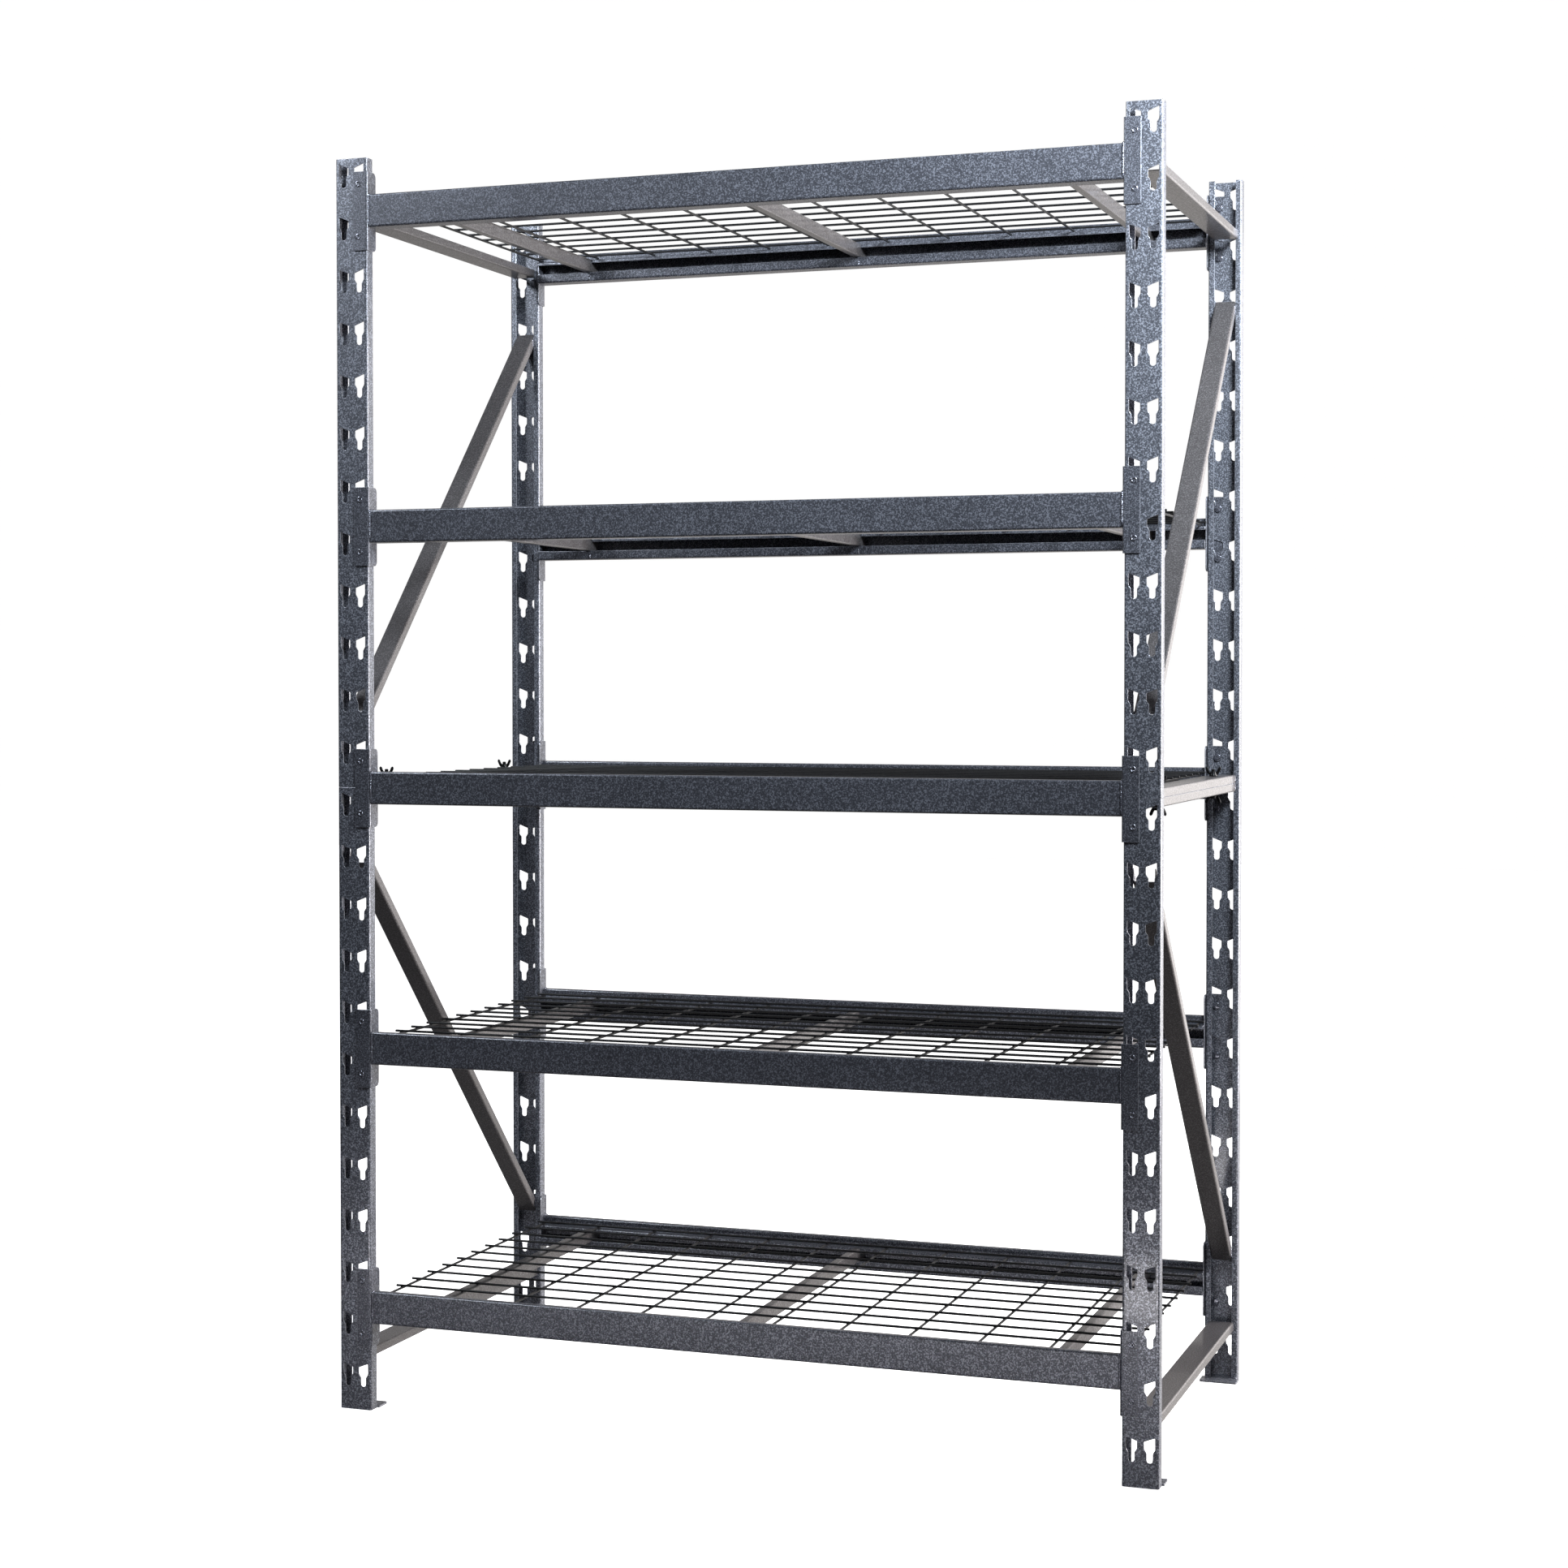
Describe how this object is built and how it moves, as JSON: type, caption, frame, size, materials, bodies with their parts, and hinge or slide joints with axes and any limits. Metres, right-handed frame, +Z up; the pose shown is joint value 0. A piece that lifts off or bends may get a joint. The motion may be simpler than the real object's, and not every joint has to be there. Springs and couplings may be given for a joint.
{
  "type": "boltless steel shelving",
  "caption": "Free-standing boltless steel shelving: slotted posts on foot plates, braced side frames, and rivet-hung beams that carry welded wire decks.",
  "frame": {"origin": "on the floor under the middle of the shelving", "axes": "+Z up, -Y front, +X to the right seen from the front"},
  "size_m": [1.2254, 0.6166, 1.8288],
  "materials": {
    "frame_paint": "grey-blue hammertone paint, satin",
    "beam_paint": "grey-blue hammertone paint, satin",
    "crossbar_paint": "grey hammertone paint, satin",
    "deck_wire": "semi-gloss black coating",
    "wing_fastener": "black oxide, satin"
  },
  "bodies": {
    "frame": {"lower_post_front_left": "frame_paint", "lower_post_front_right": "frame_paint", "lower_post_rear_left": "frame_paint", "lower_post_rear_right": "frame_paint", "upper_post_front_left": "frame_paint", "upper_post_front_right": "frame_paint", "upper_post_rear_left": "frame_paint", "upper_post_rear_right": "frame_paint", "top_brace_left": "frame_paint", "top_brace_right": "frame_paint", "upper_middle_brace_left": "frame_paint", "upper_middle_brace_right": "frame_paint", "lower_middle_brace_left": "frame_paint", "lower_middle_brace_right": "frame_paint", "bottom_brace_left": "frame_paint", "bottom_brace_right": "frame_paint", "upper_diagonal_left": "frame_paint", "upper_diagonal_right": "frame_paint", "lower_diagonal_left": "frame_paint", "lower_diagonal_right": "frame_paint"},
    "shelf_1": {"shelf_1_front_beam": "beam_paint", "shelf_1_rear_beam": "beam_paint", "shelf_1_crossbar_left": "crossbar_paint", "shelf_1_crossbar_centre": "crossbar_paint", "shelf_1_crossbar_right": "crossbar_paint"},
    "deck_1": {"shelf_1_wire_deck": "deck_wire"},
    "shelf_2": {"shelf_2_front_beam": "beam_paint", "shelf_2_rear_beam": "beam_paint", "shelf_2_crossbar_left": "crossbar_paint", "shelf_2_crossbar_centre": "crossbar_paint", "shelf_2_crossbar_right": "crossbar_paint"},
    "deck_2": {"shelf_2_wire_deck": "deck_wire"},
    "shelf_3": {"shelf_3_front_beam": "beam_paint", "shelf_3_rear_beam": "beam_paint", "shelf_3_crossbar_left": "crossbar_paint", "shelf_3_crossbar_centre": "crossbar_paint", "shelf_3_crossbar_right": "crossbar_paint"},
    "deck_3": {"shelf_3_wire_deck": "deck_wire"},
    "shelf_4": {"shelf_4_front_beam": "beam_paint", "shelf_4_rear_beam": "beam_paint", "shelf_4_crossbar_left": "crossbar_paint", "shelf_4_crossbar_centre": "crossbar_paint", "shelf_4_crossbar_right": "crossbar_paint"},
    "deck_4": {"shelf_4_wire_deck": "deck_wire"},
    "shelf_5": {"shelf_5_front_beam": "beam_paint", "shelf_5_rear_beam": "beam_paint", "shelf_5_crossbar_left": "crossbar_paint", "shelf_5_crossbar_centre": "crossbar_paint", "shelf_5_crossbar_right": "crossbar_paint"},
    "deck_5": {"shelf_5_wire_deck": "deck_wire"},
    "wing_nut_front_left": {"wing_nut_front_left": "wing_fastener"},
    "wing_nut_front_right": {"wing_nut_front_right": "wing_fastener"},
    "wing_nut_rear_left": {"wing_nut_rear_left": "wing_fastener"},
    "wing_nut_rear_right": {"wing_nut_rear_right": "wing_fastener"},
    "wing_bolt_front_left": {"wing_bolt_front_left": "wing_fastener"},
    "wing_bolt_front_right": {"wing_bolt_front_right": "wing_fastener"},
    "wing_bolt_rear_left": {"wing_bolt_rear_left": "wing_fastener"},
    "wing_bolt_rear_right": {"wing_bolt_rear_right": "wing_fastener"}
  },
  "joints": [
    {"name": "shelf_1_lift", "type": "slide", "parent": "frame", "child": "shelf_1", "axis": [0, 0, 1], "range_m": [0, 0.019]},
    {"name": "deck_1_lift", "type": "slide", "parent": "shelf_1", "child": "deck_1", "axis": [0, 0, 1], "range_m": [0, 0.04]},
    {"name": "shelf_2_lift", "type": "slide", "parent": "frame", "child": "shelf_2", "axis": [0, 0, 1], "range_m": [0, 0.019]},
    {"name": "deck_2_lift", "type": "slide", "parent": "shelf_2", "child": "deck_2", "axis": [0, 0, 1], "range_m": [0, 0.04]},
    {"name": "shelf_3_lift", "type": "slide", "parent": "frame", "child": "shelf_3", "axis": [0, 0, 1], "range_m": [0, 0.019]},
    {"name": "deck_3_lift", "type": "slide", "parent": "shelf_3", "child": "deck_3", "axis": [0, 0, 1], "range_m": [0, 0.04]},
    {"name": "shelf_4_lift", "type": "slide", "parent": "frame", "child": "shelf_4", "axis": [0, 0, 1], "range_m": [0, 0.019]},
    {"name": "deck_4_lift", "type": "slide", "parent": "shelf_4", "child": "deck_4", "axis": [0, 0, 1], "range_m": [0, 0.04]},
    {"name": "shelf_5_lift", "type": "slide", "parent": "frame", "child": "shelf_5", "axis": [0, 0, 1], "range_m": [0, 0.019]},
    {"name": "deck_5_lift", "type": "slide", "parent": "shelf_5", "child": "deck_5", "axis": [0, 0, 1], "range_m": [0, 0.04]},
    {"name": "wing_nut_front_left_turn", "type": "hinge", "parent": "frame", "child": "wing_nut_front_left", "pos_m": [-0.5842, -0.2032, 0.9144], "axis": [0, 0, 1], "continuous": true},
    {"name": "wing_nut_front_right_turn", "type": "hinge", "parent": "frame", "child": "wing_nut_front_right", "pos_m": [0.5842, -0.2032, 0.9144], "axis": [0, 0, 1], "continuous": true},
    {"name": "wing_nut_rear_left_turn", "type": "hinge", "parent": "frame", "child": "wing_nut_rear_left", "pos_m": [-0.5842, 0.2032, 0.9144], "axis": [0, 0, 1], "continuous": true},
    {"name": "wing_nut_rear_right_turn", "type": "hinge", "parent": "frame", "child": "wing_nut_rear_right", "pos_m": [0.5842, 0.2032, 0.9144], "axis": [0, 0, 1], "continuous": true},
    {"name": "wing_bolt_front_left_turn", "type": "hinge", "parent": "frame", "child": "wing_bolt_front_left", "pos_m": [-0.5842, -0.2032, 0.9144], "axis": [0, 0, 1], "continuous": true},
    {"name": "wing_bolt_front_right_turn", "type": "hinge", "parent": "frame", "child": "wing_bolt_front_right", "pos_m": [0.5842, -0.2032, 0.9144], "axis": [0, 0, 1], "continuous": true},
    {"name": "wing_bolt_rear_left_turn", "type": "hinge", "parent": "frame", "child": "wing_bolt_rear_left", "pos_m": [-0.5842, 0.2032, 0.9144], "axis": [0, 0, 1], "continuous": true},
    {"name": "wing_bolt_rear_right_turn", "type": "hinge", "parent": "frame", "child": "wing_bolt_rear_right", "pos_m": [0.5842, 0.2032, 0.9144], "axis": [0, 0, 1], "continuous": true}
  ]
}
